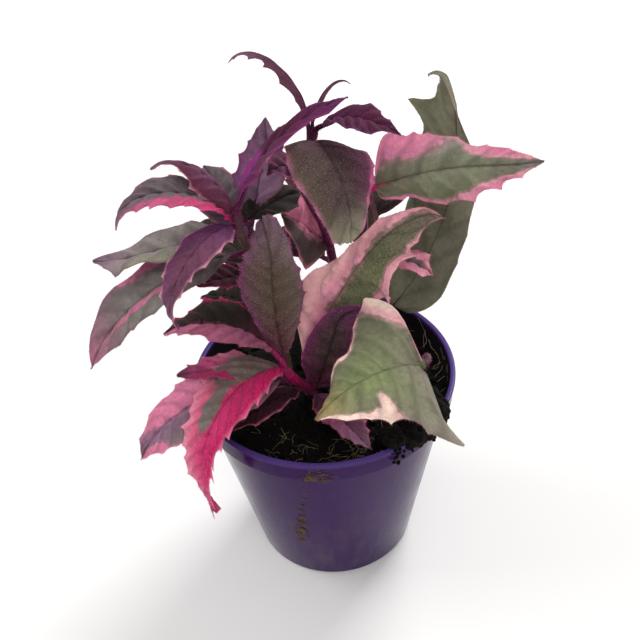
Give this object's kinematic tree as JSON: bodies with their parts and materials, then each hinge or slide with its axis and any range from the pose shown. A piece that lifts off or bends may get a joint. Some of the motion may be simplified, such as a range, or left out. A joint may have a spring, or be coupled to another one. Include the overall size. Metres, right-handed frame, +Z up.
{
  "type": "potted purple passion plant",
  "caption": "Variegated purple passion plant with toothed velvet leaves on leafy stems, in a small tapered purple plastic pot of soil.",
  "frame": {"origin": "middle of the pot's flat base, on its underside", "axes": "+Z up along the pot's axis; -Y towards the front, where the low pink leaves hang over the rim; +X to the right seen from the front"},
  "size_m": [0.1596, 0.1272, 0.2118],
  "materials": {
    "pot": "gloss",
    "soil": "matte",
    "leaves": "satin"
  },
  "bodies": {
    "root": {"pot": "pot", "soil": "soil", "front_shoot": "leaves", "left_shoot": "leaves", "tall_shoot": "leaves", "rear_shoot": "leaves", "right_shoot": "leaves"}
  },
  "joints": []
}
